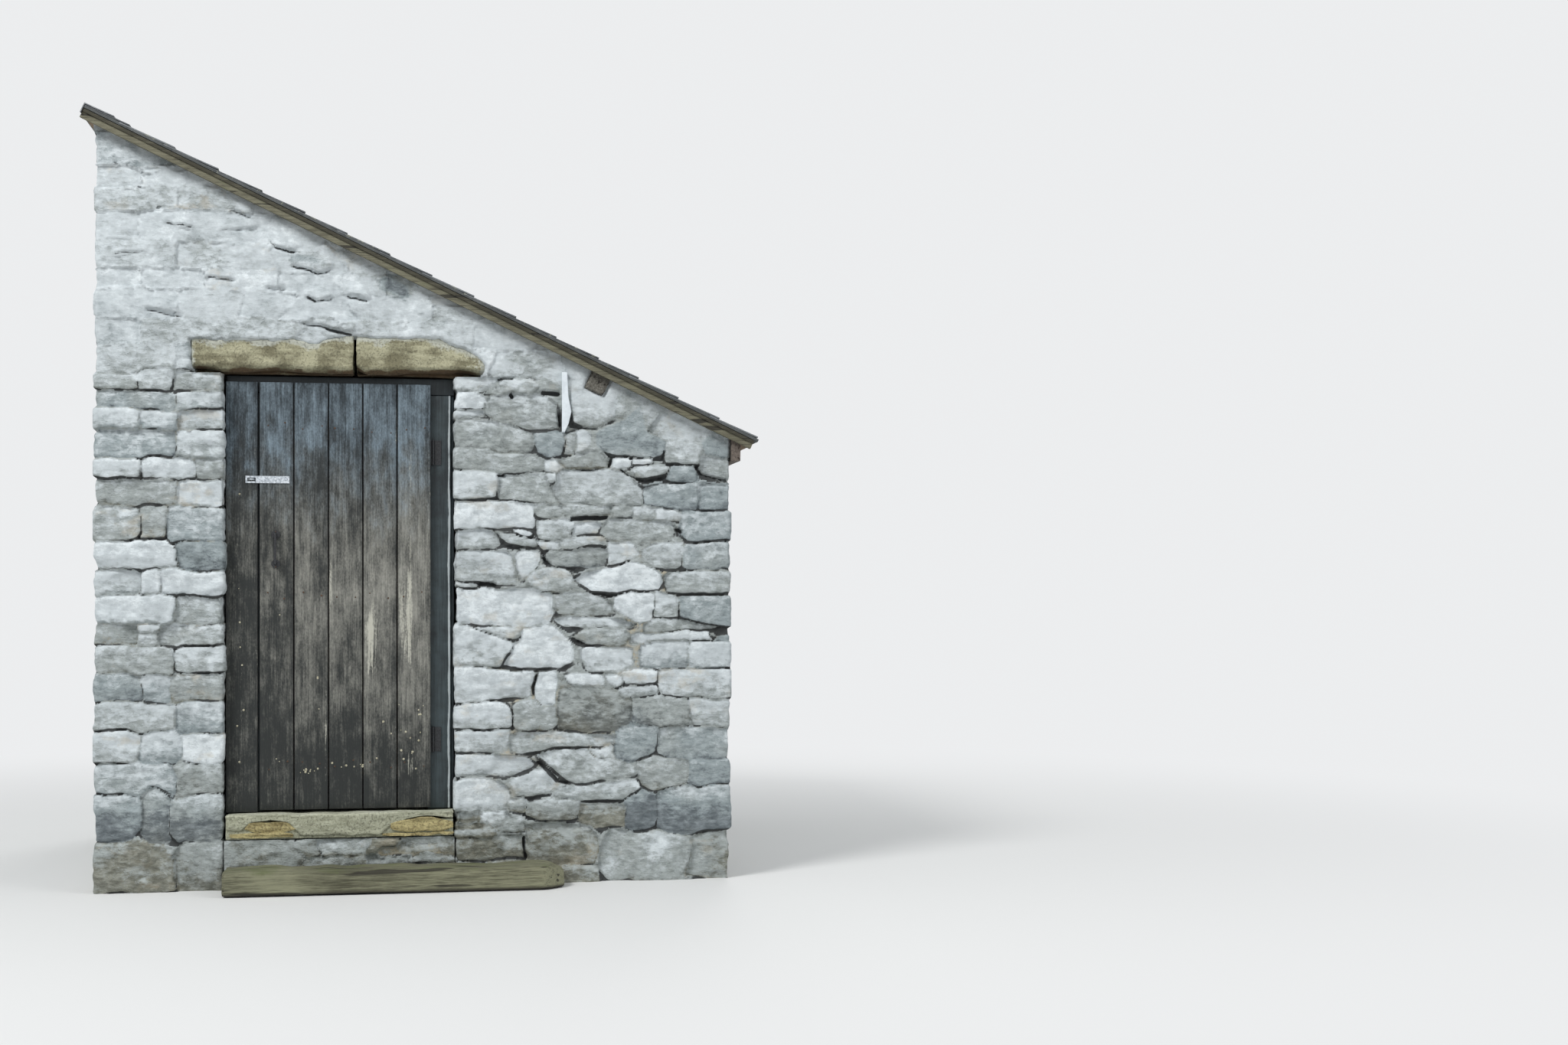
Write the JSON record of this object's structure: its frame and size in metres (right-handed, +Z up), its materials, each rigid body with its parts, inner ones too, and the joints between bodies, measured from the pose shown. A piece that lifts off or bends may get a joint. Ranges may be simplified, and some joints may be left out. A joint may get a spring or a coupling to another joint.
{
  "type": "stone garden store",
  "caption": "Small rubble stone garden store with a single-pitch slate roof, a split stone lintel and a boarded door that swings outward on pinned hinges.",
  "frame": {"origin": "on the ground under the middle of the floor", "axes": "+Z up, -Y out of the front wall that holds the door, +X towards the low eaves"},
  "size_m": [2.9817, 2.885, 3.4296],
  "materials": {
    "rubble_wall": "limewashed rubble limestone",
    "footing_stone": "bare rubble",
    "sill_stone": "weathered slab",
    "wedge_stone": "ochre gritstone",
    "lintel_stone": "weathered gritstone",
    "floor": "trowelled concrete",
    "step_timber": "weathered baulk",
    "frame_timber": "black-blue paint",
    "door_timber": "worn charcoal paint",
    "hidden_timber": "rough sawn",
    "roof_boarding": "rough sawn",
    "verge_timber": "weathered, green with algae",
    "eaves_timber": "weathered",
    "slate": "riven slate",
    "black_iron": "black paint",
    "lead": "dull sheet lead",
    "zinc": "zinc plated"
  },
  "bodies": {
    "root": {"front_wall_left": "rubble_wall", "front_wall_right": "rubble_wall", "front_wall_top": "rubble_wall", "rear_wall": "rubble_wall", "left_wall": "rubble_wall", "right_wall": "rubble_wall", "door_footing": "footing_stone", "door_sill": "sill_stone", "sill_wedges": "wedge_stone", "front_step": "step_timber", "floor_slab": "floor", "lintel_left": "lintel_stone", "lintel_right": "lintel_stone", "inner_lintel": "hidden_timber", "frame_post_left": "frame_timber", "frame_post_right": "frame_timber", "frame_head": "frame_timber", "side_board": "door_timber", "hasp_staple": "zinc", "hinge_plate_top": "black_iron", "hinge_plate_bottom": "black_iron", "wall_plate_low": "hidden_timber", "wall_plate_high": "hidden_timber", "purlin_low": "hidden_timber", "purlin_mid": "hidden_timber", "roof_boards": "roof_boarding", "verge_board_front": "verge_timber", "verge_board_rear": "verge_timber", "eaves_board": "eaves_timber", "slate_courses": "slate", "ridge_capping": "lead"},
    "door": {"door_plank_1": "door_timber", "door_plank_2": "door_timber", "door_plank_3": "door_timber", "door_plank_4": "door_timber", "door_plank_5": "door_timber", "door_ledge_top": "door_timber", "door_ledge_middle": "door_timber", "door_ledge_bottom": "door_timber", "door_brace_upper": "door_timber", "door_brace_lower": "door_timber", "door_handle": "black_iron", "hasp_strap": "zinc", "hinge_leaf_top": "black_iron", "hinge_leaf_bottom": "black_iron"}
  },
  "joints": [
    {"name": "door_hinge", "type": "hinge", "parent": "root", "child": "door", "pos_m": [0.0542, -1.2002, 1.2965], "axis": [0, 0, 1], "range_deg": [0, 110]}
  ]
}
